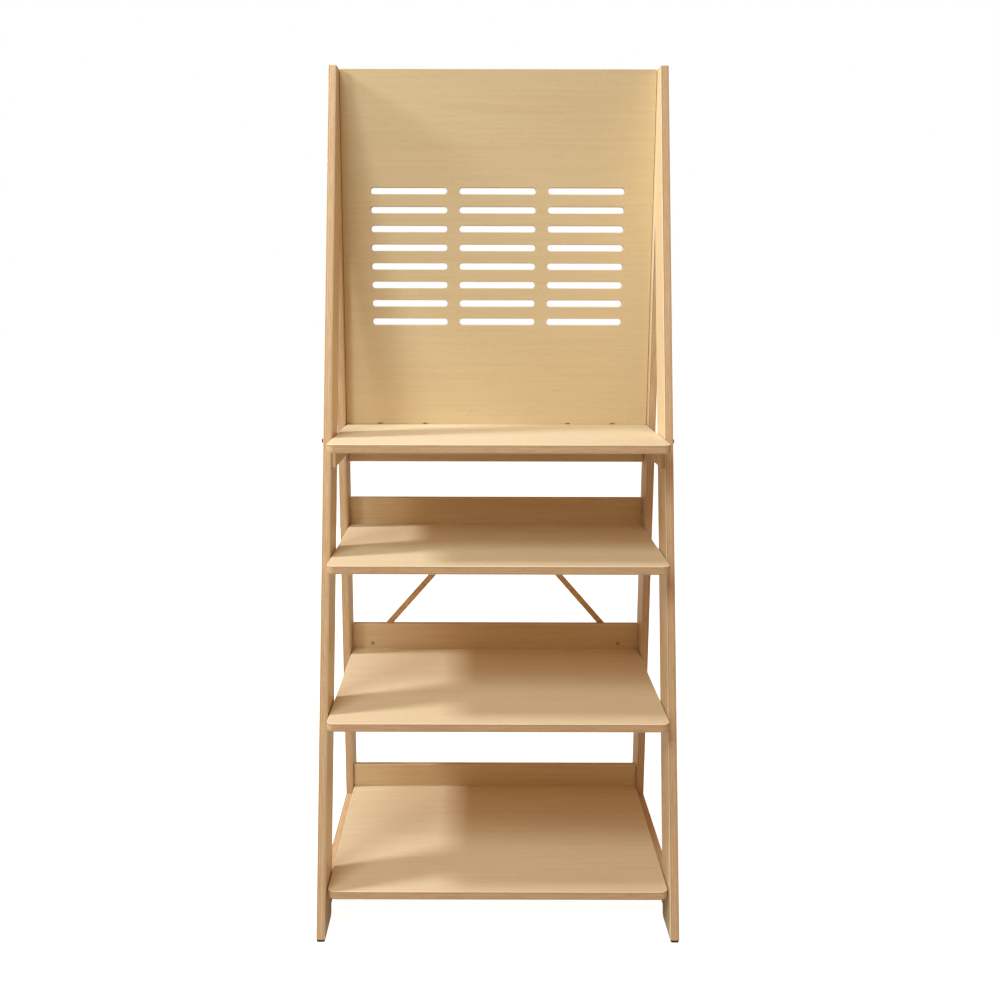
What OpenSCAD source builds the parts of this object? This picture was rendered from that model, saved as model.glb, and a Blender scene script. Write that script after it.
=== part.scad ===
// Display rack: two A-shaped side frames, four shelves that get shallower upwards,
// back rails, a crossed brace and a slotted back panel above the top shelf.
// Millimetres, +Z up, front towards -Y, origin at the middle of the footprint on the floor.

/* [Overall] */
// Width over the outer faces of the legs
overall_width = 620; // [540:10:720]
// Height from the floor to the top of the legs
overall_height = 1497; // [1440:1:1560]
// Backward lean of the front legs, in degrees
front_leg_lean = 15.3; // [14.6:0.1:16]

/* [Legs] */
// Thickness of the leg boards
leg_thickness = 15; // [14:1:18]
// Width of the front leg boards, measured square to their length
front_leg_width = 80; // [74:1:86]
// Depth of the rear leg boards
rear_leg_depth = 68; // [64:1:80]
// Depth of front leg left at the very top, in front of the rear leg
top_land = 13; // [10:0.5:20]
// Thickness of the pads under the feet
pad_thickness = 2.5; // [2:0.5:5]
// Height of the lower stretchers
stretcher_height = 46; // [40:1:50]
// Height of the lower stretchers' top edge above the floor
stretcher_top = 65; // [60:1:68]

/* [Shelves] */
// Thickness of the shelf boards
shelf_thickness = 15; // [12:0.5:16]
// Gap between each shelf end and the leg
shelf_gap = 1.5; // [1:0.5:3]
// Radius of the shelves' front corners, seen from above
corner_radius = 14; // [6:1:20]
// Height of the bottom shelf's top face
bottom_shelf_top = 79; // [74:1:84]
// Height of the lower middle shelf's top face
lower_middle_top = 369; // [350:1:380]
// Height of the upper middle shelf's top face
upper_middle_top = 633; // [615:1:645]
// Height of the top shelf's top face
top_shelf_top = 836.5; // [826:0.5:846]
// How far the bottom shelf's front stands out past the front legs
bottom_reach = -5; // [-10:1:5]
// How far the lower middle shelf's front stands out past the front legs
lower_middle_reach = 37; // [20:1:44]
// How far the upper middle shelf's front stands out past the front legs
upper_middle_reach = 61; // [36:1:66]
// How far the top shelf's front stands out past the front legs
top_reach = 84; // [55:1:90]

/* [Back] */
// Thickness of the back rails
rail_thickness = 13; // [12:0.5:15]
// Rise of the back rails above their shelves
rail_rise = 53; // [48:1:60]
// Rise of the bottom back rail above its shelf
bottom_rail_rise = 47; // [40:1:60]
// Set-back of the rails behind the rear legs' front edge
rail_setback = 38; // [36:1:40]
// Set-back of the bottom rail behind the rear legs' front edge
bottom_rail_setback = 8; // [6:1:38]
// Height of the rail under the top shelf
apron_height = 62.5; // [50:0.5:66]
// Height of the cleats under the top shelf
cleat_height = 37; // [30:1:40]
// Thickness of the cleats under the top shelf
cleat_thickness = 7; // [6:0.5:8]
// Width of the slanting braces
brace_width = 11; // [10:0.5:14]
// Thickness of the slanting braces
brace_thickness = 10; // [9:0.5:12]

/* [Slotted panel] */
// Thickness of the panel
panel_thickness = 12; // [11:0.5:14]
// Set-back of the panel behind the rear legs' front edge
panel_setback = 20; // [18:1:21]
// Rows of slots
slot_rows = 8; // [4:1:8]
// Spacing between slot rows
slot_pitch = 34.85; // [30:0.05:36]
// Height of the top slot row above the top shelf
top_slot_height = 442.5; // [430:0.5:470]
// Length of each slot, end to end
slot_length = 145; // [120:1:150]
// Height of each slot
slot_height = 12; // [9:0.5:15]
// Spacing between slot columns
slot_column_pitch = 168; // [160:1:170]

/* [Hidden] */
$fn = 64;
half = overall_width / 2;
inner = half - leg_thickness;
mid_x = half - leg_thickness / 2;
lean_t = tan(front_leg_lean);
leg_run = front_leg_width / cos(front_leg_lean);
rear_front = (overall_height - pad_thickness) * lean_t + top_land;
depth = rear_front + rear_leg_depth;
scarf_z = pad_thickness + (rear_front - leg_run) / lean_t;
shelf_half = inner - shelf_gap;
panel_half = inner - shelf_gap / 2;
rail_y = rear_front + rail_setback;
bottom_rail_y = rear_front + bottom_rail_setback;
rail_back = rail_y + rail_thickness;
panel_y = rear_front + panel_setback;
panel_mid_y = panel_y + panel_thickness / 2;
stretcher_bottom = stretcher_top - stretcher_height;
cleat_top = top_shelf_top - shelf_thickness;
cleat_mid = cleat_top - cleat_height / 2;
slot_top_z = top_shelf_top + top_slot_height;
// Fixings
dowel_d = 6;
dowel_bore = 6.2;
leg_bore_depth = 10;
board_bore_depth = 18;
end_play = 0.5;
bolt_d = 6;
bolt_bore = 6.6;
bolt_y = front_y(top_shelf_top) + 20;
bolt_z = top_shelf_top - shelf_thickness / 2;
bolt_tip = half - 62;
nut_x = inner - 36;
nut_d = 9.8;
nut_bore = 10;
nut_depth = shelf_thickness - 1.5;
screw_d = 3.5;
screw_bore = 3.7;
screw_head_d = 7;
screw_head_h = 2.2;
rail_screw_x = 220;
panel_pin_x = [-228, -140, 140, 228];
panel_pin_z = [top_shelf_top + 72, (top_shelf_top + overall_height) / 2, overall_height - 70];
scarf_pin_z = [scarf_z + 26, scarf_z + 100, scarf_z + 174];
stretcher_pin_z = [stretcher_bottom + 9, stretcher_top - 9];
// Braces, in the plane behind the rails
brace_low = [271.8, lower_middle_top - 11];
brace_high = [11.2, upper_middle_top + 25];
brace_run = brace_low[0] - brace_high[0];
brace_climb = brace_high[1] - brace_low[1];
brace_angle = atan2(brace_climb, brace_run);
brace_length = sqrt(brace_run * brace_run + brace_climb * brace_climb);
brace_hole_low = 29;
brace_hole_high = brace_length - 13;
// Each shelf: top height, front, back
shelf_1 = [bottom_shelf_top, front_y(bottom_shelf_top) - bottom_reach, bottom_rail_y];
shelf_2 = [lower_middle_top, front_y(lower_middle_top) - lower_middle_reach, rail_y];
shelf_3 = [upper_middle_top, front_y(upper_middle_top) - upper_middle_reach, rail_y];
shelf_4 = [top_shelf_top, front_y(top_shelf_top) - top_reach, rail_back];
// Dowels in each shelf's ends, as distances from the front
pins_1 = [front_y(bottom_shelf_top) + 22, front_y(bottom_shelf_top) + 57];
pins_2 = [front_y(lower_middle_top) + 20, front_y(lower_middle_top) + 60, rear_front + 20];
pins_3 = [front_y(upper_middle_top) + 20, front_y(upper_middle_top) + 60, rear_front + 20];
pins_4 = [front_y(top_shelf_top) + 58, rear_front + 26];
// Rail end dowels: distance from the front and height
rail_pins = [
    [bottom_rail_y + rail_thickness / 2, bottom_shelf_top + 24],
    [rail_y + rail_thickness / 2, lower_middle_top + 24],
    [rail_y + rail_thickness / 2, upper_middle_top + 24],
    [rail_y + rail_thickness / 2, cleat_top - apron_height / 2]
];
// Cleat screws: distance from the front and height
cleat_pins = [
    [front_y(cleat_mid) + 28, cleat_mid + 7],
    [front_y(cleat_mid) + 54, cleat_mid - 7],
    [rear_front + 17, cleat_mid + 7],
    [rear_front + 17, cleat_mid - 7]
];
wood_leg = [0.84, 0.70, 0.53];
wood_shelf = [0.86, 0.73, 0.56];
wood_rail = [0.72, 0.56, 0.37];
wood_panel = [0.84, 0.71, 0.52];
wood_brace = [0.52, 0.38, 0.25];
wood_dowel = [0.80, 0.66, 0.46];
steel = [0.70, 0.71, 0.72];
rubber = [0.12, 0.11, 0.10];

// Front face of the front legs at a height
function front_y(z) = (z - pad_thickness) * lean_t;
// Back edge of the front legs at a height
function back_y(z) = front_y(z) + leg_run;

// Moves the working frame, measured from the front of the feet, to the middle of the footprint
module placed() translate([0, -depth / 2, 0]) children();

// A board lying in a side plane: points are (distance back, height)
module side_board(x0, x1, points)
    translate([x0, 0, 0]) rotate([90, 0, 90]) linear_extrude(height = x1 - x0) polygon(points);

// A round bar along X towards side s, from distance a to distance b off the centre
module bar_x(s, a, b, y, z, d)
    translate([s * a, y, z]) rotate([0, s * 90, 0]) cylinder(h = b - a, d = d);

// A round bar along Y from y0 to y1
module bar_y(x, y0, y1, z, d)
    translate([x, y0, z]) rotate([-90, 0, 0]) cylinder(h = y1 - y0, d = d);

// Countersunk screw along +Z with its head's face at zero
module screw(length)
    difference() {
        union() {
            cylinder(h = screw_head_h, d1 = screw_head_d, d2 = screw_d);
            translate([0, 0, screw_head_h]) cylinder(h = length - screw_head_h - 3, d = screw_d);
            translate([0, 0, length - 3]) cylinder(h = 3, d1 = screw_d, d2 = 0.8);
        }
        translate([-1.9, -0.4, -1]) cube([3.8, 0.8, 2.4]);
        translate([-0.4, -1.9, -1]) cube([0.8, 3.8, 2.4]);
    }

// Hole for that screw, to a depth
module screw_hole(length) {
    translate([0, 0, -0.01]) cylinder(h = screw_head_h + 0.2, d1 = screw_head_d + 0.3, d2 = screw_bore);
    translate([0, 0, -0.01]) cylinder(h = length, d = screw_bore);
}

// Shelf outline with two rounded front corners
module shelf_outline(y0, y1) {
    r = corner_radius;
    polygon([[-shelf_half, y0 + r], [shelf_half, y0 + r], [shelf_half, y1], [-shelf_half, y1]]);
    translate([-shelf_half + r, y0]) square([2 * (shelf_half - r), r + 1]);
    for (s = [-1, 1]) translate([s * (shelf_half - r), y0 + r]) circle(r = r);
}

// Shelf with dowel bores in its ends
module shelf(spec, pins)
    difference() {
        translate([0, 0, spec[0] - shelf_thickness])
            linear_extrude(height = shelf_thickness) shelf_outline(spec[1], spec[2]);
        for (s = [-1, 1], y = pins)
            bar_x(s, shelf_half - board_bore_depth, shelf_half + 1, y, spec[0] - shelf_thickness / 2, dowel_bore);
    }

// Pilot holes in a shelf's back edge for the rail screws
module shelf_pilots(spec)
    for (x = [-rail_screw_x, 0, rail_screw_x])
        bar_y(x, spec[2] - 28, spec[2] + 1, spec[0] - shelf_thickness / 2, screw_bore);

// Back rail standing behind a shelf
module back_rail(y0, z_top, rise, pin)
    difference() {
        translate([-shelf_half, y0, z_top - shelf_thickness])
            cube([2 * shelf_half, rail_thickness, shelf_thickness + rise]);
        for (s = [-1, 1])
            bar_x(s, shelf_half - board_bore_depth, shelf_half + 1, pin[0], pin[1], dowel_bore);
        for (x = [-rail_screw_x, 0, rail_screw_x])
            translate([x, y0 + rail_thickness, z_top - shelf_thickness / 2]) rotate([90, 0, 0]) screw_hole(rail_thickness + 1);
    }

// Point on a brace's centre line, at a distance from its lower end
function brace_at(s, t) = [
    s * (brace_low[0] - t * cos(brace_angle)),
    brace_low[1] + t * sin(brace_angle)
];

module front_leg(s)
    difference() {
        side_board(s > 0 ? inner : -half, s > 0 ? half : -inner, [
            [0, pad_thickness], [leg_run, pad_thickness], [rear_front, scarf_z],
            [rear_front, overall_height], [rear_front - top_land, overall_height]
        ]);
        for (y = [pins_1[0], pins_1[1]])
            bar_x(s, inner - 1, inner + leg_bore_depth, y, bottom_shelf_top - shelf_thickness / 2, dowel_bore);
        for (y = [pins_2[0], pins_2[1]])
            bar_x(s, inner - 1, inner + leg_bore_depth, y, lower_middle_top - shelf_thickness / 2, dowel_bore);
        for (y = [pins_3[0], pins_3[1]])
            bar_x(s, inner - 1, inner + leg_bore_depth, y, upper_middle_top - shelf_thickness / 2, dowel_bore);
        bar_x(s, inner - 1, inner + leg_bore_depth, pins_4[0], bolt_z, dowel_bore);
        bar_x(s, inner - 1, half + 1, bolt_y, bolt_z, bolt_bore);
        for (i = [0, 1])
            bar_x(s, inner - 1, inner + 11.5, cleat_pins[i][0], cleat_pins[i][1], screw_bore);
        for (z = scarf_pin_z)
            bar_y(s * mid_x, rear_front - 16, rear_front + 1, z, dowel_bore);
        for (z = stretcher_pin_z)
            bar_y(s * mid_x, back_y(z) - 16, back_y(z) + 4, z, dowel_bore);
    }

module rear_leg(s)
    difference() {
        side_board(s > 0 ? inner : -half, s > 0 ? half : -inner, [
            [rear_front, pad_thickness], [depth, pad_thickness], [depth, overall_height], [rear_front, overall_height]
        ]);
        bar_x(s, inner - 1, inner + leg_bore_depth, pins_2[2], lower_middle_top - shelf_thickness / 2, dowel_bore);
        bar_x(s, inner - 1, inner + leg_bore_depth, pins_3[2], upper_middle_top - shelf_thickness / 2, dowel_bore);
        bar_x(s, inner - 1, inner + leg_bore_depth, pins_4[1], bolt_z, dowel_bore);
        for (p = rail_pins)
            bar_x(s, inner - 1, inner + leg_bore_depth, p[0], p[1], dowel_bore);
        for (z = panel_pin_z)
            bar_x(s, inner - 1, inner + leg_bore_depth, panel_mid_y, z, dowel_bore);
        for (i = [2, 3])
            bar_x(s, inner - 1, inner + 11.5, cleat_pins[i][0], cleat_pins[i][1], screw_bore);
        for (z = scarf_pin_z)
            bar_y(s * mid_x, rear_front - 1, rear_front + 16, z, dowel_bore);
        for (z = stretcher_pin_z)
            bar_y(s * mid_x, rear_front - 1, rear_front + 16, z, dowel_bore);
    }

module lower_stretcher(s)
    difference() {
        side_board(s > 0 ? inner : -half, s > 0 ? half : -inner, [
            [back_y(stretcher_bottom), stretcher_bottom], [rear_front, stretcher_bottom],
            [rear_front, stretcher_top], [back_y(stretcher_top), stretcher_top]
        ]);
        for (z = stretcher_pin_z) {
            bar_y(s * mid_x, back_y(z) - 4, back_y(z) + 16, z, dowel_bore);
            bar_y(s * mid_x, rear_front - 16, rear_front + 1, z, dowel_bore);
        }
    }

module upper_cleat(s)
    difference() {
        side_board(s > 0 ? inner - cleat_thickness : -inner, s > 0 ? inner : -inner + cleat_thickness, [
            [front_y(cleat_top - cleat_height) + 5, cleat_top - cleat_height], [rail_y - 2, cleat_top - cleat_height],
            [rail_y - 2, cleat_top], [front_y(cleat_top) + 5, cleat_top]
        ]);
        for (p = cleat_pins)
            translate([s * (inner - cleat_thickness), p[0], p[1]]) rotate([0, s * 90, 0]) screw_hole(cleat_thickness + 1);
    }

module brace(s)
    difference() {
        translate([s * brace_low[0], rail_back, brace_low[1]])
            rotate([0, s > 0 ? brace_angle - 180 : -brace_angle, 0])
                translate([0, 0, -brace_width / 2]) cube([brace_length, brace_thickness, brace_width]);
        bar_y(brace_at(s, brace_hole_low)[0], rail_back - 1, rail_back + brace_thickness - 2, brace_at(s, brace_hole_low)[1], screw_bore);
        translate([brace_at(s, brace_hole_high)[0], rail_back + brace_thickness, brace_at(s, brace_hole_high)[1]])
            rotate([90, 0, 0]) screw_hole(brace_thickness + 1);
    }

// Rounded pad under one foot
module pad(x, y0, y1) {
    w = leg_thickness - 1;
    r = 3;
    translate([x, 0, 0]) linear_extrude(height = pad_thickness) {
        translate([-w / 2 + r, y0]) square([w - 2 * r, y1 - y0]);
        translate([-w / 2, y0 + r]) square([w, y1 - y0 - 2 * r]);
        for (a = [-1, 1], y = [y0 + r, y1 - r]) translate([a * (w / 2 - r), y]) circle(r = r);
    }
}

// Dome-headed bolt along +Z, the underside of its head at zero, its shank downwards
module bolt()
    difference() {
        union() {
            translate([0, 0, bolt_tip - half]) cylinder(h = half - bolt_tip + 0.5, d = bolt_d);
            cylinder(h = 1.5, d = 13);
            translate([0, 0, 1.5]) rotate_extrude() intersection() {
                translate([0, -1.78]) circle(r = 5.78);
                square([6, 5]);
            }
        }
        translate([0, 0, 3]) cylinder(h = 4, d = 4.6, $fn = 6);
    }

// One slot with round ends, through the panel
module slot(x, z)
    translate([x, panel_y + panel_thickness + 1, z]) rotate([90, 0, 0]) linear_extrude(height = panel_thickness + 2) {
        square([slot_length - slot_height, slot_height], center = true);
        for (s = [-1, 1]) translate([s * (slot_length - slot_height) / 2, 0]) circle(d = slot_height);
    }

module left_front_leg() color(wood_leg) placed() front_leg(-1);
module right_front_leg() color(wood_leg) placed() front_leg(1);
module left_rear_leg() color(wood_leg) placed() rear_leg(-1);
module right_rear_leg() color(wood_leg) placed() rear_leg(1);
module left_lower_stretcher() color(wood_leg) placed() lower_stretcher(-1);
module right_lower_stretcher() color(wood_leg) placed() lower_stretcher(1);
module left_upper_cleat() color(wood_rail) placed() upper_cleat(-1);
module right_upper_cleat() color(wood_rail) placed() upper_cleat(1);

module bottom_shelf() color(wood_shelf) placed()
    difference() {
        shelf(shelf_1, pins_1);
        shelf_pilots(shelf_1);
    }

module lower_middle_shelf() color(wood_shelf) placed()
    difference() {
        shelf(shelf_2, pins_2);
        shelf_pilots(shelf_2);
    }

module upper_middle_shelf() color(wood_shelf) placed()
    difference() {
        shelf(shelf_3, pins_3);
        shelf_pilots(shelf_3);
    }

module top_shelf() color(wood_shelf) placed()
    difference() {
        shelf(shelf_4, pins_4);
        for (s = [-1, 1]) {
            bar_x(s, bolt_tip - 3, shelf_half + 1, bolt_y, bolt_z, bolt_bore);
            translate([s * nut_x, bolt_y, cleat_top - 1]) cylinder(h = nut_depth + 1, d = nut_bore);
        }
        for (x = panel_pin_x)
            translate([x, panel_mid_y, top_shelf_top - 9]) cylinder(h = 10, d = dowel_bore);
    }

module bottom_back_rail() color(wood_rail) placed()
    back_rail(bottom_rail_y, bottom_shelf_top, bottom_rail_rise, rail_pins[0]);

module lower_middle_back_rail() color(wood_rail) placed()
    difference() {
        back_rail(rail_y, lower_middle_top, rail_rise, rail_pins[1]);
        for (s = [-1, 1])
            translate([brace_at(s, brace_hole_low)[0], rail_y, brace_at(s, brace_hole_low)[1]])
                rotate([-90, 0, 0]) screw_hole(rail_thickness + 1);
    }

module upper_middle_back_rail() color(wood_rail) placed()
    difference() {
        back_rail(rail_y, upper_middle_top, rail_rise, rail_pins[2]);
        for (s = [-1, 1])
            bar_y(brace_at(s, brace_hole_high)[0], rail_back - 10, rail_back + 1, brace_at(s, brace_hole_high)[1], screw_bore);
    }

module top_shelf_rear_rail() color(wood_rail) placed()
    difference() {
        translate([-shelf_half, rail_y, cleat_top - apron_height]) cube([2 * shelf_half, rail_thickness, apron_height]);
        for (s = [-1, 1])
            bar_x(s, shelf_half - board_bore_depth, shelf_half + 1, rail_pins[3][0], rail_pins[3][1], dowel_bore);
    }

module slotted_back_panel() color(wood_panel) placed()
    difference() {
        translate([-panel_half, panel_y, top_shelf_top]) cube([2 * panel_half, panel_thickness, overall_height - top_shelf_top]);
        for (c = [-1, 0, 1], r = [0 : slot_rows - 1])
            slot(c * slot_column_pitch, slot_top_z - r * slot_pitch);
        for (s = [-1, 1], z = panel_pin_z)
            bar_x(s, panel_half - board_bore_depth, panel_half + 1, panel_mid_y, z, dowel_bore);
        for (x = panel_pin_x) {
            translate([x, panel_mid_y, top_shelf_top - 1]) cylinder(h = 21, d = dowel_bore);
            translate([x - 4.5, panel_y - 1, top_shelf_top - 1]) cube([9, panel_thickness + 2, 3.5]);
        }
    }

module left_brace() color(wood_brace) placed() brace(-1);
module right_brace() color(wood_brace) placed() brace(1);

module foot_pads() color(rubber) placed()
    for (s = [-1, 1]) {
        pad(s * mid_x, 1, leg_run - 1);
        pad(s * mid_x, rear_front + 1, depth - 1);
    }

module shelf_bolts() color(steel) placed()
    for (s = [-1, 1])
        translate([s * half, bolt_y, bolt_z]) rotate([0, s * 90, 0]) bolt();

module barrel_nuts() color(steel) placed()
    for (s = [-1, 1])
        difference() {
            translate([s * nut_x, bolt_y, cleat_top + 0.5]) cylinder(h = nut_depth - 1, d = nut_d);
            bar_x(s, nut_x - 8, nut_x + 8, bolt_y, bolt_z, bolt_d + 0.2);
        }

module cleat_screws() color(steel) placed()
    for (s = [-1, 1], p = cleat_pins)
        translate([s * (inner - cleat_thickness + 0.1), p[0], p[1]]) rotate([0, s * 90, 0]) screw(18);

module brace_screws() color(steel) placed()
    for (s = [-1, 1]) {
        translate([brace_at(s, brace_hole_low)[0], rail_y + 0.1, brace_at(s, brace_hole_low)[1]]) rotate([-90, 0, 0]) screw(20);
        translate([brace_at(s, brace_hole_high)[0], rail_back + brace_thickness - 0.1, brace_at(s, brace_hole_high)[1]]) rotate([90, 0, 0]) screw(19);
    }

module rail_screws() color(steel) placed()
    for (x = [-rail_screw_x, 0, rail_screw_x]) {
        translate([x, bottom_rail_y + rail_thickness - 0.1, bottom_shelf_top - shelf_thickness / 2]) rotate([90, 0, 0]) screw(40);
        translate([x, rail_back - 0.1, lower_middle_top - shelf_thickness / 2]) rotate([90, 0, 0]) screw(40);
        translate([x, rail_back - 0.1, upper_middle_top - shelf_thickness / 2]) rotate([90, 0, 0]) screw(40);
    }

// One dowel across the gap between a board's end and a leg
module end_dowel(s, board_half, y, z)
    bar_x(s, board_half - board_bore_depth + end_play, inner + leg_bore_depth - end_play, y, z, dowel_d);

module shelf_dowels() color(wood_dowel) placed()
    for (s = [-1, 1]) {
        for (y = pins_1) end_dowel(s, shelf_half, y, bottom_shelf_top - shelf_thickness / 2);
        for (y = pins_2) end_dowel(s, shelf_half, y, lower_middle_top - shelf_thickness / 2);
        for (y = pins_3) end_dowel(s, shelf_half, y, upper_middle_top - shelf_thickness / 2);
        for (y = pins_4) end_dowel(s, shelf_half, y, bolt_z);
    }

module frame_dowels() color(wood_dowel) placed()
    for (s = [-1, 1]) {
        for (z = scarf_pin_z) bar_y(s * mid_x, rear_front - 15.5, rear_front + 15.5, z, dowel_d);
        for (z = stretcher_pin_z) {
            bar_y(s * mid_x, back_y(z) - 15.5, back_y(z) + 15.5, z, dowel_d);
            bar_y(s * mid_x, rear_front - 15.5, rear_front + 15.5, z, dowel_d);
        }
    }

module rail_dowels() color(wood_dowel) placed()
    for (s = [-1, 1], p = rail_pins) end_dowel(s, shelf_half, p[0], p[1]);

module panel_dowels() color(wood_dowel) placed() {
    for (s = [-1, 1], z = panel_pin_z) end_dowel(s, panel_half, panel_mid_y, z);
    for (x = panel_pin_x)
        translate([x, panel_mid_y, top_shelf_top - 8.5]) cylinder(h = 28, d = dowel_d);
}

left_front_leg();
right_front_leg();
left_rear_leg();
right_rear_leg();
left_lower_stretcher();
right_lower_stretcher();
left_upper_cleat();
right_upper_cleat();
bottom_shelf();
lower_middle_shelf();
upper_middle_shelf();
top_shelf();
bottom_back_rail();
lower_middle_back_rail();
upper_middle_back_rail();
top_shelf_rear_rail();
slotted_back_panel();
left_brace();
right_brace();
foot_pads();
shelf_bolts();
barrel_nuts();
cleat_screws();
brace_screws();
rail_screws();
shelf_dowels();
frame_dowels();
rail_dowels();
panel_dowels();
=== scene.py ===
import bpy
import math
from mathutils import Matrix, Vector
from mathutils.geometry import tessellate_polygon


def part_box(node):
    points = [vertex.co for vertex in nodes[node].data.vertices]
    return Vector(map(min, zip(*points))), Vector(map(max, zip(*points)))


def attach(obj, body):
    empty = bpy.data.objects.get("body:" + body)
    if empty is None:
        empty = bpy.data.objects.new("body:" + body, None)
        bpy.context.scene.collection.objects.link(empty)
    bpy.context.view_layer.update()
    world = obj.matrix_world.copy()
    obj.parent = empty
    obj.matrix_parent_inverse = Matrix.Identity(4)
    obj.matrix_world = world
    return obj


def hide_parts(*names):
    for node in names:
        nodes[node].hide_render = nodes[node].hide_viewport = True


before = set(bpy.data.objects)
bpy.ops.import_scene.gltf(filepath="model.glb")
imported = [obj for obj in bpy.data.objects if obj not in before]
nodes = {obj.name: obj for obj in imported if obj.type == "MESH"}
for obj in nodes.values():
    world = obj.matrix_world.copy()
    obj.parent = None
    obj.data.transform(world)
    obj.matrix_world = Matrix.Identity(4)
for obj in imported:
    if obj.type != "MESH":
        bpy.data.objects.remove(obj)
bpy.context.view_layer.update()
scene = bpy.context.scene

X, Y, Z = 0, 1, 2
LEAN = math.radians(15.3)

# ---------------------------------------------------------------- node helpers


class Tree:
    """A material's node tree with short calls for the nodes used here."""

    def __init__(self, name):
        self.mat = bpy.data.materials.new(name)
        self.mat.use_nodes = True
        self.t = self.mat.node_tree
        self.t.nodes.clear()
        self.out = self.t.nodes.new("ShaderNodeOutputMaterial")
        self.bsdf = self.t.nodes.new("ShaderNodeBsdfPrincipled")
        self.link(self.bsdf.outputs["BSDF"], self.out.inputs["Surface"])

    def link(self, a, b):
        self.t.links.new(a, b)

    def put(self, socket, value):
        if isinstance(value, bpy.types.NodeSocket):
            self.link(value, socket)
        elif isinstance(value, (tuple, list)) and len(value) == 3 and socket.type == "RGBA":
            socket.default_value = (*value, 1.0)
        else:
            socket.default_value = value

    def math(self, op, a, b=None, c=None, clamp=False):
        n = self.t.nodes.new("ShaderNodeMath")
        n.operation = op
        n.use_clamp = clamp
        for i, v in enumerate((a, b, c)):
            if v is not None:
                self.put(n.inputs[i], v)
        return n.outputs[0]

    def object_coords(self):
        return self.t.nodes.new("ShaderNodeTexCoord").outputs["Object"]

    def mapping(self, vector, rotation=(0, 0, 0), scale=(1, 1, 1), location=(0, 0, 0)):
        n = self.t.nodes.new("ShaderNodeMapping")
        self.link(vector, n.inputs["Vector"])
        n.inputs["Rotation"].default_value = rotation
        n.inputs["Scale"].default_value = scale
        n.inputs["Location"].default_value = location
        return n.outputs[0]

    def split(self, vector):
        n = self.t.nodes.new("ShaderNodeSeparateXYZ")
        self.link(vector, n.inputs[0])
        return n.outputs

    def join(self, x, y, z):
        n = self.t.nodes.new("ShaderNodeCombineXYZ")
        for i, v in enumerate((x, y, z)):
            self.put(n.inputs[i], v)
        return n.outputs[0]

    def noise(self, vector, scale=1.0, detail=3.0, rough=0.55, distortion=0.0):
        n = self.t.nodes.new("ShaderNodeTexNoise")
        self.link(vector, n.inputs["Vector"])
        n.inputs["Scale"].default_value = scale
        n.inputs["Detail"].default_value = detail
        n.inputs["Roughness"].default_value = rough
        n.inputs["Distortion"].default_value = distortion
        return n.outputs["Fac"]

    def grained(self, g, a, along, over, seed, detail=3.0, rough=0.55):
        """Noise drawn out along the grain: along and over are its cells per metre with and across it."""
        return self.noise(self.join(self.math("MULTIPLY", g, along), self.math("MULTIPLY", a, over), seed), 1.0, detail, rough)

    def band(self, value, lo, hi, out_lo=0.0, out_hi=1.0, smooth=True):
        n = self.t.nodes.new("ShaderNodeMapRange")
        n.interpolation_type = "SMOOTHSTEP" if smooth else "LINEAR"
        self.put(n.inputs["Value"], value)
        n.inputs["From Min"].default_value = lo
        n.inputs["From Max"].default_value = hi
        n.inputs["To Min"].default_value = out_lo
        n.inputs["To Max"].default_value = out_hi
        return n.outputs[0]

    def share(self, value, k):
        return self.math("MULTIPLY", value, k)

    def mix(self, fac, a, b, mode="MIX"):
        n = self.t.nodes.new("ShaderNodeMix")
        n.data_type = "RGBA"
        n.blend_type = mode
        self.put(n.inputs[0], fac)
        self.put(n.inputs[6], a)
        self.put(n.inputs[7], b)
        return n.outputs[2]

    def blend(self, fac, a, b):
        n = self.t.nodes.new("ShaderNodeMix")
        self.put(n.inputs[0], fac)
        self.put(n.inputs[2], a)
        self.put(n.inputs[3], b)
        return n.outputs[0]

    def bump(self, height, strength, distance):
        n = self.t.nodes.new("ShaderNodeBump")
        n.inputs["Strength"].default_value = strength
        n.inputs["Distance"].default_value = distance
        self.link(height, n.inputs["Height"])
        return n.outputs[0]


# ---------------------------------------------------------------- wood

LIGHT = (0.770, 0.605, 0.378)
MID = (0.722, 0.548, 0.326)
DEEP = (0.590, 0.408, 0.214)
FLECK = (0.400, 0.238, 0.112)
EDGE_PALE = (0.680, 0.445, 0.250)
EDGE_DARK = (0.510, 0.305, 0.158)
EDGE_LINE = (0.330, 0.180, 0.085)


def tinted(colour, tint):
    return tuple(min(1.0, c * k) for c, k in zip(colour, tint))


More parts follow.
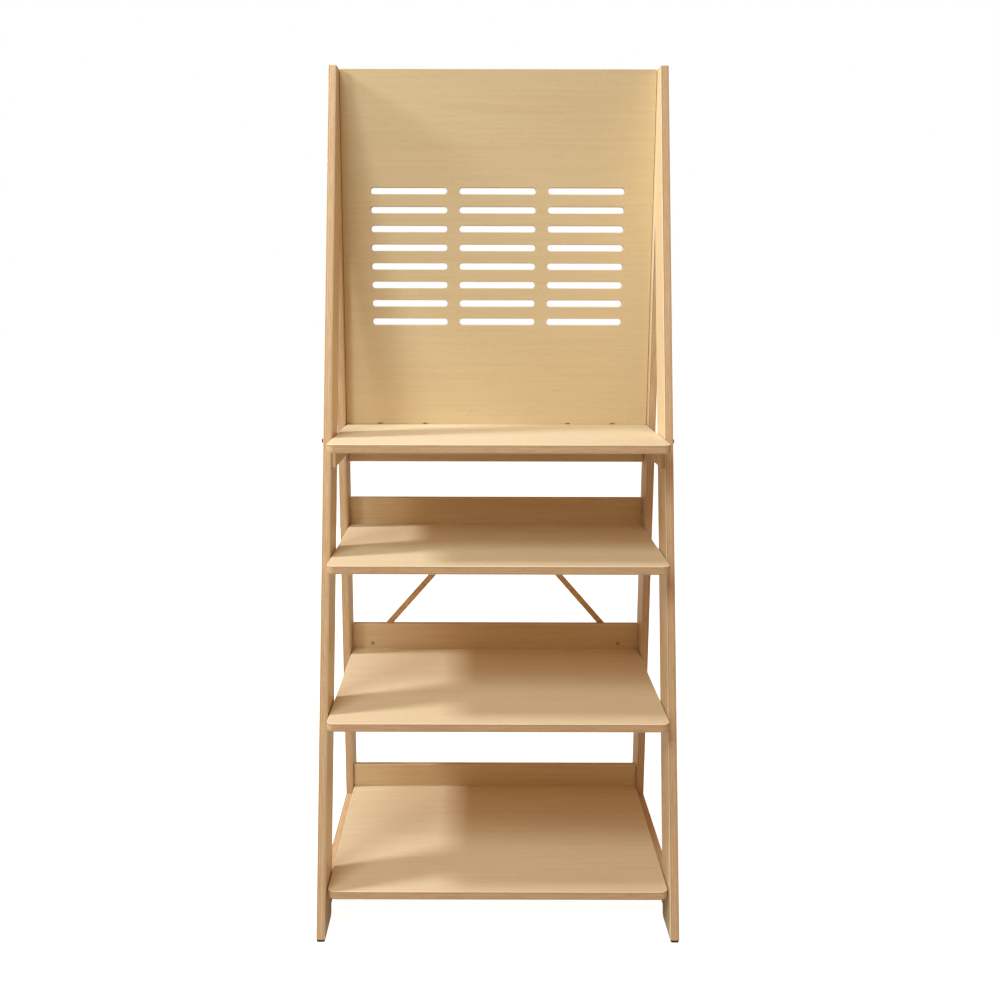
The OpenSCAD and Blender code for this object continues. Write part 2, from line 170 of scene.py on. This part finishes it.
def plywood(name, thick, grain, t0, t1, plies, seed, rotation=(0, 0, 0), tint=(1, 1, 1), edge_tint=(1, 1, 1), figure=1.0):
    """Lacquered plywood in the row's own metres: face veneer with its grain along one axis, and the plies on the board's edges.
    thick and grain are 0, 1 or 2 for X, Y or Z, read after the rotation; figure is how strongly the grain shows."""
    m = Tree(name)
    across = 3 - thick - grain
    raw = m.split(m.mapping(m.object_coords(), rotation=rotation))
    g, a, t = raw[grain], raw[across], raw[thick]
    # the veneer wanders a little sideways along the board
    warp = m.grained(g, a, 1.7, 5.0, seed, 2.0, 0.5)
    a_w = m.math("MULTIPLY_ADD", warp, 0.022, a)
    cloud = m.grained(g, a, 2.6, 5.5, seed + 9.4, 2.0, 0.5)
    broad = m.grained(g, a_w, 2.4, 26.0, seed + 3.1, 3.0, 0.5)
    streak = m.grained(g, a_w, 5.5, 210.0, seed + 7.7, 4.0, 0.62)
    fine = m.grained(g, a_w, 26.0, 760.0, seed + 1.3, 3.0, 0.6)
    dash = m.grained(g, a_w, 130.0, 1250.0, seed + 5.9, 1.0, 0.5)
    pore = m.grained(g, a_w, 60.0, 420.0, seed + 4.4, 2.0, 0.5)
    face = m.mix(m.band(streak, 0.34, 0.68, 0.5 - 0.5 * figure, 0.5 + 0.5 * figure), tinted(LIGHT, tint), tinted(MID, tint))
    face = m.mix(m.share(m.band(broad, 0.48, 0.76), 0.16 * figure), face, tinted(DEEP, tint))
    face = m.mix(m.share(m.band(cloud, 0.45, 0.75), 0.16 * figure), face, tinted(MID, tint))
    face = m.mix(m.share(m.band(fine, 0.50, 0.80), 0.24 * figure), face, tinted(DEEP, tint))
    face = m.mix(m.share(m.band(pore, 0.62, 0.74), 0.16 * figure), face, tinted(DEEP, tint))
    flecks = m.band(dash, 0.64, 0.74)
    face = m.mix(m.share(flecks, 0.38), face, tinted(FLECK, tint))
    # plies on the edge, with end grain in every other one
    w = m.band(t, t0, t1, 0.0, float(plies), smooth=False)
    wob = m.noise(m.join(m.share(g, 9.0), m.share(a, 9.0), seed + 2.2), 1.0, 2.0, 0.5)
    w = m.math("MULTIPLY_ADD", m.math("SUBTRACT", wob, 0.5), 0.60, w)
    phase = m.math("PINGPONG", w, 1.0)
    end_grain = m.band(phase, 0.40, 0.60)
    line = m.math("SUBTRACT", 1.0, m.band(m.math("ABSOLUTE", m.math("SUBTRACT", phase, 0.5)), 0.0, 0.09))
    pores = m.noise(m.join(m.share(g, 420.0), m.share(a, 420.0), m.share(t, 1600.0)), 1.0, 2.0, 0.6)
    along = m.noise(m.join(m.share(g, 16.0), m.share(a, 16.0), m.share(t, 1000.0)), 1.0, 3.0, 0.6)
    patch = m.noise(m.join(m.share(g, 30.0), m.share(a, 30.0), m.share(t, 260.0)), 1.0, 3.0, 0.6)
    pale = m.mix(m.band(along, 0.32, 0.70), tinted(EDGE_PALE, edge_tint), tinted(MID, edge_tint))
    dark = m.mix(m.band(pores, 0.36, 0.64), tinted(EDGE_DARK, edge_tint), tinted(EDGE_PALE, edge_tint))
    edge = m.mix(m.share(end_grain, 0.52), pale, dark)
    edge = m.mix(m.share(line, 0.14), edge, tinted(EDGE_LINE, edge_tint))
    edge = m.mix(m.share(m.band(patch, 0.42, 0.68), 0.42), edge, tinted(EDGE_DARK, edge_tint))
    # the edge is darker in a band just inside each face veneer
    mid, half = (t0 + t1) / 2, (t1 - t0) / 2
    outward = m.share(m.math("ABSOLUTE", m.math("SUBTRACT", t, mid)), 1 / half)
    outer = m.math("MULTIPLY", m.band(outward, 0.58, 0.70), m.band(outward, 0.94, 0.86))
    edge = m.mix(m.share(outer, 0.62), edge, tinted(EDGE_DARK, edge_tint))
    # which of the two a point is on, from the way the surface faces
    turned = m.split(m.mapping(m.t.nodes.new("ShaderNodeTexCoord").outputs["Normal"], rotation=rotation))
    facing = m.math("ABSOLUTE", turned[thick])
    on_face = m.band(facing, 0.60, 0.92)
    colour = m.mix(on_face, edge, face)
    # arrises are painted paler: a painted highlight along every rounded edge, together with sanding wear
    arris_highlight_and_wear = m.math("MULTIPLY", m.band(facing, 0.20, 0.60), m.band(facing, 0.995, 0.90))
    arris_highlight_and_wear = m.math("MULTIPLY", arris_highlight_and_wear, m.band(along, 0.25, 0.60, 0.35, 1.0))
    colour = m.mix(m.share(arris_highlight_and_wear, 0.80), colour, tinted((0.92, 0.77, 0.54), tint))
    m.link(colour, m.bsdf.inputs["Base Color"])
    m.link(m.blend(on_face, 0.62, m.band(streak, 0.25, 0.75, 0.42, 0.54)), m.bsdf.inputs["Roughness"])
    height = m.math("ADD", m.share(fine, 0.6), m.share(dash, -0.5))
    height = m.math("ADD", height, m.math("MULTIPLY", m.math("SUBTRACT", 1.0, on_face), m.share(phase, 0.8)))
    m.link(m.bump(height, 0.25, 0.00025), m.bsdf.inputs["Normal"])
    m.bsdf.inputs["Specular IOR Level"].default_value = 0.42
    m.bsdf.inputs["Coat Weight"].default_value = 0.10
    m.bsdf.inputs["Coat Roughness"].default_value = 0.32
    return m.mat


def solid_wood(name, grain, seed, rotation=(0, 0, 0), tint=(1, 1, 1)):
    """Plain solid timber, its grain along one axis after the rotation."""
    m = Tree(name)
    others = [i for i in range(3) if i != grain]
    raw = m.split(m.mapping(m.object_coords(), rotation=rotation))
    g, a, b = raw[grain], raw[others[0]], raw[others[1]]
    rings = m.noise(m.join(m.share(g, 5.0), m.share(a, 260.0), m.math("MULTIPLY_ADD", b, 260.0, seed)), 1.0, 4.0, 0.6)
    fine = m.noise(m.join(m.share(g, 60.0), m.share(a, 1800.0), m.math("MULTIPLY_ADD", b, 1800.0, seed)), 1.0, 2.0, 0.5)
    colour = m.mix(m.band(rings, 0.34, 0.68), tinted(MID, tint), tinted(DEEP, tint))
    colour = m.mix(m.share(m.band(fine, 0.55, 0.80), 0.5), colour, tinted(FLECK, tint))
    m.link(colour, m.bsdf.inputs["Base Color"])
    m.link(m.band(rings, 0.3, 0.7, 0.48, 0.62), m.bsdf.inputs["Roughness"])
    m.link(m.bump(fine, 0.25, 0.0002), m.bsdf.inputs["Normal"])
    m.bsdf.inputs["Specular IOR Level"].default_value = 0.4
    return m.mat


def steel(name, dark, pale):
    m = Tree(name)
    p = m.object_coords()
    swirl = m.noise(p, 900.0, 3.0, 0.6)
    cloud = m.noise(p, 140.0, 2.0, 0.5)
    m.link(m.mix(m.band(cloud, 0.35, 0.7), dark, pale), m.bsdf.inputs["Base Color"])
    m.link(m.band(swirl, 0.3, 0.7, 0.28, 0.46), m.bsdf.inputs["Roughness"])
    m.link(m.bump(swirl, 0.12, 0.0001), m.bsdf.inputs["Normal"])
    m.bsdf.inputs["Metallic"].default_value = 1.0
    return m.mat


def dark_rubber(name):
    m = Tree(name)
    p = m.object_coords()
    grit = m.noise(p, 1400.0, 3.0, 0.6)
    dust = m.noise(p, 90.0, 3.0, 0.6)
    m.link(m.mix(m.share(m.band(dust, 0.45, 0.75), 0.5), (0.022, 0.019, 0.017), (0.075, 0.065, 0.055)), m.bsdf.inputs["Base Color"])
    m.link(m.band(grit, 0.3, 0.7, 0.62, 0.82), m.bsdf.inputs["Roughness"])
    m.link(m.bump(grit, 0.3, 0.0002), m.bsdf.inputs["Normal"])
    return m.mat


# ---------------------------------------------------------------- boards with rounded arrises


def outline(points, radii, steps=5):
    """A closed outline with each corner rounded: points with their outward normals. Outer outlines run anticlockwise and holes clockwise."""
    n, out = len(points), []
    if not hasattr(radii, "__len__"):
        radii = [radii] * n
    for i in range(n):
        p = Vector(points[i])
        back, ahead = Vector(points[i - 1]) - p, Vector(points[(i + 1) % n]) - p
        room = 0.4999 * min(back.length, ahead.length)
        back.normalize()
        ahead.normalize()
        half = math.acos(max(-1.0, min(1.0, back.dot(ahead)))) / 2
        reach = min(radii[i] / math.tan(half), room)
        r = reach * math.tan(half)
        centre = p + (back + ahead).normalized() * (r / math.sin(half))
        v0, v1 = p + back * reach - centre, p + ahead * reach - centre
        turn = math.atan2(v0.x * v1.y - v0.y * v1.x, v0.dot(v1))
        sign = 1.0 if turn > 0 else -1.0
        for k in range(steps + 1):
            q = turn * k / steps
            v = Vector((v0.x * math.cos(q) - v0.y * math.sin(q), v0.x * math.sin(q) + v0.y * math.cos(q)))
            at = centre + v
            if not out or (out[-1][0] - at).length > 1e-7:
                out.append((at, v.normalized() * sign))
    if (out[0][0] - out[-1][0]).length < 1e-7:
        out.pop()
    return out


def round_hole(x, y, r, steps=24):
    """A round hole, clockwise, with normals into the hole."""
    out = []
    for k in range(steps):
        q = -2 * math.pi * k / steps
        v = Vector((math.cos(q), math.sin(q)))
        out.append((Vector((x, y)) + v * r, -v))
    return out


def rectangle(x0, y0, x1, y1):
    return [(x0, y0), (x1, y0), (x1, y1), (x0, y1)]


def board(node, material, thick, w0, w1, outer, holes=(), arris=0.0012, hole_arris=None, steps=4, pockets=()):
    """A board with rounded arrises in place of a CAD node: its outline lies in the plane square to the thick axis, from w0 to w1 along it."""
    axes = [i for i in range(3) if i != thick]
    verts, normals, faces = [], [], []

    def add(p, n, w, nw):
        v, d = [0.0, 0.0, 0.0], [0.0, 0.0, 0.0]
        v[axes[0]], v[axes[1]], v[thick] = p.x, p.y, w
        d[axes[0]], d[axes[1]], d[thick] = n.x, n.y, nw
        verts.append(v)
        normals.append(Vector(d).normalized())
        return len(verts) - 1

    def wall(a, b):
        for i in range(len(a)):
            j = (i + 1) % len(a)
            faces.append((a[i], a[j], b[j], b[i]))

    def arc(loop, r, w, up):
        """Rings from the cap's edge at w to the wall, rounding the arris."""
        rings = []
        for k in range(steps + 1):
            q = math.pi / 2 * k / steps
            inset, deep = r * (1 - math.sin(q)), r * (1 - math.cos(q))
            rings.append([add(p - n * inset, n * math.sin(q), w + (-deep if up else deep), math.cos(q) if up else -math.cos(q)) for p, n in loop])
        return rings

    def cap(rings, w):
        polys = [[Vector((verts[i][axes[0]], verts[i][axes[1]], 0)) for i in ring] for ring in rings]
        flat = [i for ring in rings for i in ring]
        for tri in tessellate_polygon(polys):
            faces.append(tuple(flat[i] for i in tri))

    low, high = [], []
    for loop, r in [(outer, arris)] + [(h, hole_arris or arris) for h in holes]:
        a, b = arc(loop, r, w0, False), arc(loop, r, w1, True)
        for rings in (a, b):
            for i in range(steps):
                wall(rings[i], rings[i + 1])
        wall(a[-1], b[-1])
        low.append(a[0])
        high.append(b[0])
    for loop, depth in pockets:
        a = arc(loop, 0.0003, w0, False)
        for i in range(steps):
            wall(a[i], a[i + 1])
        foot = [add(p, n, w0 + depth, 0.0) for p, n in loop]
        wall(a[-1], foot)
        faces.append(tuple(add(p, n * 0, w0 + depth, -1.0) for p, n in loop))
        low.append(a[0])
    cap(low, w0)
    cap(high, w1)
    # every face is wound to agree with its normals
    wound = []
    for f in faces:
        a, b, c = Vector(verts[f[0]]), Vector(verts[f[1]]), Vector(verts[f[2]])
        face_normal = (b - a).cross(c - a)
        if face_normal.length < 1e-14 and len(f) > 3:
            face_normal = (c - b).cross(Vector(verts[f[3]]) - b)
        mean = sum((normals[i] for i in f), Vector())
        wound.append(f if face_normal.dot(mean) >= 0 else tuple(reversed(f)))
    mesh = bpy.data.meshes.new(node + "_board")
    mesh.from_pydata(verts, [], wound)
    for p in mesh.polygons:
        p.use_smooth = True
    mesh.normals_split_custom_set_from_vertices(normals)
    mesh.materials.append(material)
    o = bpy.data.objects.new(node + "_board", mesh)
    scene.collection.objects.link(o)
    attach(o, "root")
    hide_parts(node)
    return o


def box(node):
    lo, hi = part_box(node)
    return [*lo, *hi]


MM = 0.001
DEPTH = box("left_rear_leg")[4]
PAD = box("left_front_leg")[2]
TOP = box("left_front_leg")[5]
FOOT_FRONT = box("left_front_leg")[1]
REAR_FRONT = box("left_rear_leg")[1]
TAN = math.tan(LEAN)
RUN = 0.080 / math.cos(LEAN)


def leg_front(z):
    return FOOT_FRONT + (z - PAD) * TAN


# legs and stretchers lie in the planes square to X
S4_TOP = box("top_shelf")[5]
S4_MID = (box("top_shelf")[5] + box("top_shelf")[2]) / 2
BOLT_Y = (box("shelf_bolts")[1] + box("shelf_bolts")[4]) / 2
for i, side in enumerate(("left", "right")):
    n = side + "_front_leg"
    x0, x1 = box(n)[0], box(n)[3]
    scarf = PAD + (REAR_FRONT - FOOT_FRONT - RUN) / TAN
    board(
        n, plywood(n, X, Z, x0, x1, 7, 11.0 + i * 3.7, rotation=(LEAN, 0, 0)), X, x0, x1,
        outline([
            (FOOT_FRONT, PAD), (FOOT_FRONT + RUN, PAD), (REAR_FRONT, scarf), (REAR_FRONT, TOP), (leg_front(TOP), TOP),
        ], [0.0025, 0.0025, 0.0018, 0.0018, 0.0025]),
        holes=[round_hole(BOLT_Y, S4_MID, 0.0033)], arris=0.0014, hole_arris=0.0003,
    )
    n = side + "_rear_leg"
    b = box(n)
    board(n, plywood(n, X, Z, x0, x1, 7, 23.0 + i * 4.1), X, x0, x1, outline(rectangle(b[1], b[2], b[4], b[5]), 0.0022), arris=0.0014)
    n = side + "_lower_stretcher"
    b = box(n)
    slope = (b[5] - b[2]) * TAN
    board(
        n, plywood(n, X, Y, x0, x1, 7, 31.0 + i * 2.9), X, x0, x1,
        outline([(b[1], b[2]), (b[4], b[2]), (b[4], b[5]), (b[1] + slope, b[5])], 0.0018), arris=0.0012,
    )
    n = side + "_upper_cleat"
    b = box(n)
    slope = (b[5] - b[2]) * TAN
    mid = (b[2] + b[5]) / 2
    front = FOOT_FRONT + (mid - PAD) * TAN
    pins = [
        (front + 0.028, mid + 0.007), (front + 0.054, mid - 0.007),
        (REAR_FRONT + 0.017, mid + 0.007), (REAR_FRONT + 0.017, mid - 0.007),
    ]
    board(
        n, plywood(n, X, Y, b[0], b[3], 5, 37.0 + i * 2.3), X, b[0], b[3],
        outline([(b[1], b[2]), (b[4], b[2]), (b[4], b[5]), (b[1] + slope, b[5])], 0.0014),
        holes=[round_hole(y, z, 0.00362) for y, z in pins], arris=0.0009, hole_arris=0.0002,
    )

# shelves lie flat
for i, n in enumerate(("bottom_shelf", "lower_middle_shelf", "upper_middle_shelf", "top_shelf")):
    b = box(n)
    nut = box("barrel_nuts")
    pockets = []
    if n == "top_shelf":
        for x in ((nut[0] + 0.0049), (nut[3] - 0.0049)):
            pockets.append((round_hole(x, BOLT_Y, 0.005, 32), 0.0135))
    # the top shelf is tinted paler and bluer than the three below it: painted light for the full light it takes with no
    # shelf above
    board(
        n, plywood(n, Z, X, b[2], b[5], 7, 43.0 + i * 5.3, tint=(1.03, 1.06, 1.13) if i < 3 else (1.06, 1.13, 1.28), edge_tint=(1.0, 0.985, 0.97), figure=0.8), Z, b[2], b[5],
        outline(rectangle(b[0], b[1], b[3], b[4]), [0.014, 0.014, 0.0026, 0.0026], 14), arris=0.0015, steps=5, pockets=pockets,
    )

# rails stand behind the shelves
screw_box = box("brace_screws")
for i, n in enumerate(("bottom_back_rail", "lower_middle_back_rail", "upper_middle_back_rail", "top_shelf_rear_rail")):
    b = box(n)
    holes = []
    if n != "top_shelf_rear_rail":
        shelf_mid = b[2] + 0.0075
        holes += [round_hole(x, shelf_mid, 0.00362) for x in (-0.220, 0.0, 0.220)]
    if n == "lower_middle_back_rail":
        holes += [round_hole(s * (screw_box[3] - 0.0035), screw_box[2] + 0.0035, 0.00362) for s in (-1, 1)]
    board(
        n, plywood(n, Y, X, b[1], b[4], 7, 67.0 + i * 3.3), Y, b[1], b[4],
        outline(rectangle(b[0], b[2], b[3], b[5]), 0.0026), holes=holes, arris=0.0018, hole_arris=0.0002,
    )

# slotted panel
b = box("slotted_back_panel")
edge = [(b[0], b[2])]
for x in (-0.228, -0.140, 0.140, 0.228):
    edge += [(x - 0.0045, b[2]), (x - 0.0045, b[2] + 0.0025), (x + 0.0045, b[2] + 0.0025), (x + 0.0045, b[2])]
edge += [(b[3], b[2]), (b[3], b[5]), (b[0], b[5])]
radii = [0.0018] + [0.0011, 0.0011, 0.0011, 0.0011] * 4 + [0.0018, 0.0025, 0.0025]
slots = []
for c in (-1, 0, 1):
    for r in range(8):
        x, z = c * 0.168, S4_TOP + 0.4425 - r * 0.03485
        slots.append(outline(list(reversed(rectangle(x - 0.0725, z - 0.006, x + 0.0725, z + 0.006))), 0.006, 10))
board(
    "slotted_back_panel", plywood("slotted_back_panel", Y, X, b[1], b[4], 7, 83.0, tint=(0.985, 1.01, 0.97), figure=0.62), Y, b[1], b[4],
    outline(edge, radii), holes=slots, arris=0.0010, hole_arris=0.0012,
)

# braces slant behind the rails
for s, n in ((-1, "left_brace"), (1, "right_brace")):
    b = box(n)
    angle = math.atan2(0.300, 0.2606)
    length = math.hypot(0.300, 0.2606)
    cx, cz = (b[0] + b[3]) / 2, (b[2] + b[5]) / 2
    d = Vector((-s * math.cos(angle), math.sin(angle)))
    q = Vector((-d.y, d.x))
    c = Vector((cx, cz))
    corners = [c - d * length / 2 - q * 0.0055, c + d * length / 2 - q * 0.0055, c + d * length / 2 + q * 0.0055, c - d * length / 2 + q * 0.0055]
    board(
        n, solid_wood(n, Z, 91.0 + s, rotation=(0, -s * (math.pi / 2 - angle), 0), tint=(1.06, 0.93, 0.77)), Y, b[1], b[4],
        outline(corners, 0.0014), holes=[round_hole(*(c + d * (length / 2 - 0.013)), 0.00362)], arris=0.0011, hole_arris=0.0002,
    )

# ---------------------------------------------------------------- fixings keep their CAD shapes


def dress(node, material):
    o = nodes[node]
    o.data.materials.clear()
    o.data.materials.append(material)


black_bolt = steel("black_bolt", (0.085, 0.055, 0.036), (0.150, 0.105, 0.074))
bronze = steel("bronze_screw", (0.46, 0.31, 0.175), (0.58, 0.41, 0.245))
beech_dowel = solid_wood("beech_dowel", X, 97.0)
dress("shelf_bolts", black_bolt)
for n in ("barrel_nuts", "cleat_screws", "brace_screws", "rail_screws"):
    dress(n, bronze)
for n in ("shelf_dowels", "frame_dowels", "rail_dowels", "panel_dowels"):
    dress(n, beech_dowel)
dress("foot_pads", dark_rubber("pad_rubber"))

# ---------------------------------------------------------------- floor, light, camera


def by_ray(tree, camera_value, other_value, socket):
    """Gives a stage surface one strength as a backdrop and another as a light."""
    path = tree.nodes.new("ShaderNodeLightPath")
    mixer = tree.nodes.new("ShaderNodeMix")
    tree.links.new(path.outputs["Is Camera Ray"], mixer.inputs[0])
    mixer.inputs[2].default_value = other_value
    mixer.inputs[3].default_value = camera_value
    tree.links.new(mixer.outputs[0], socket)


def floor():
    mesh = bpy.data.meshes.new("floor")
    mesh.from_pydata([(-30, -30, 0), (30, -30, 0), (30, 30, 0), (-30, 30, 0)], [], [(0, 1, 2, 3)])
    o = bpy.data.objects.new("floor", mesh)
    scene.collection.objects.link(o)
    m = Tree("floor")
    m.bsdf.inputs["Base Color"].default_value = (0.62, 0.62, 0.62, 1)
    m.bsdf.inputs["Roughness"].default_value = 0.9
    m.bsdf.inputs["Specular IOR Level"].default_value = 0.1
    m.bsdf.inputs["Emission Color"].default_value = (1, 1, 1, 1)
    by_ray(m.t, 0.92, 0.0, m.bsdf.inputs["Emission Strength"])
    mesh.materials.append(m.mat)


floor()

world = bpy.data.worlds.new("studio")
scene.world = world
world.use_nodes = True
background = world.node_tree.nodes["Background"]
WARM = (1.0, 0.60, 0.34)
AMBIENT = 0.40
ray = world.node_tree.nodes.new("ShaderNodeLightPath")
sky = world.node_tree.nodes.new("ShaderNodeMix")
sky.data_type = "RGBA"
world.node_tree.links.new(ray.outputs["Is Camera Ray"], sky.inputs[0])
sky.inputs[6].default_value = (*(AMBIENT * c for c in WARM), 1)
sky.inputs[7].default_value = (1, 1, 1, 1)
world.node_tree.links.new(sky.outputs[2], background.inputs["Color"])
background.inputs["Strength"].default_value = 1.0


def area(name, place, aim, size, power, colour=(1, 1, 1)):
    data = bpy.data.lights.new(name, "AREA")
    data.shape = "RECTANGLE"
    data.size, data.size_y = size
    data.energy = power
    data.color = colour
    o = bpy.data.objects.new(name, data)
    o.location = place
    o.rotation_euler = (Vector(aim) - Vector(place)).to_track_quat("-Z", "Y").to_euler()
    scene.collection.objects.link(o)
    return o


area("key", (-1.93, 0.0, 2.49), (0.0, 0.0, 0.75), (0.36, 0.36), 50, (0.92, 0.965, 1.0))
area("side", (-1.62, -1.62, 2.05), (0.0, 0.0, 0.75), (0.5, 0.5), 11, (0.92, 0.975, 1.0))
# low behind the rack, so that it lights the backs and undersides and leaves the shelves' tops alone
back = area("back", (-0.3, 3.2, 0.35), (0.0, 0.0, 0.9), (1.4, 0.5), 22, (0.95, 0.985, 1.0))
back.visible_glossy = False
area("fill", (-1.22, -2.60, 4.75), (0.0, 0.0, 0.75), (2.1, 1.5), 102, (0.82, 0.98, 1.0))
# a soft pool of light on the lower half of the panel
pool = bpy.data.lights.new("pool", "SPOT")
pool.energy = 36
pool.color = (0.95, 0.99, 1.0)
pool.spot_size = math.radians(18)
pool.spot_blend = 1.0
pool.shadow_soft_size = 0.25
lamp = bpy.data.objects.new("pool", pool)
lamp.location = (-0.5, -2.25, 2.15)
lamp.rotation_euler = (Vector((0.06, 0.2, 0.90)) - lamp.location).to_track_quat("-Z", "Y").to_euler()
scene.collection.objects.link(lamp)

camera = bpy.data.cameras.new("camera")
camera.sensor_width = 36.0
camera.sensor_fit = "HORIZONTAL"
camera.lens = 38.22
camera.shift_x = 0.0189
camera.clip_end = 200.0
cam = bpy.data.objects.new("camera", camera)
cam.location = (-0.030, -1.8826, 1.082)
cam.rotation_mode = "ZYX"
cam.rotation_euler = (math.radians(79.18), 0, math.radians(0.12))
scene.collection.objects.link(cam)
scene.camera = cam

scene.view_settings.view_transform = "Standard"
scene.view_settings.look = "None"
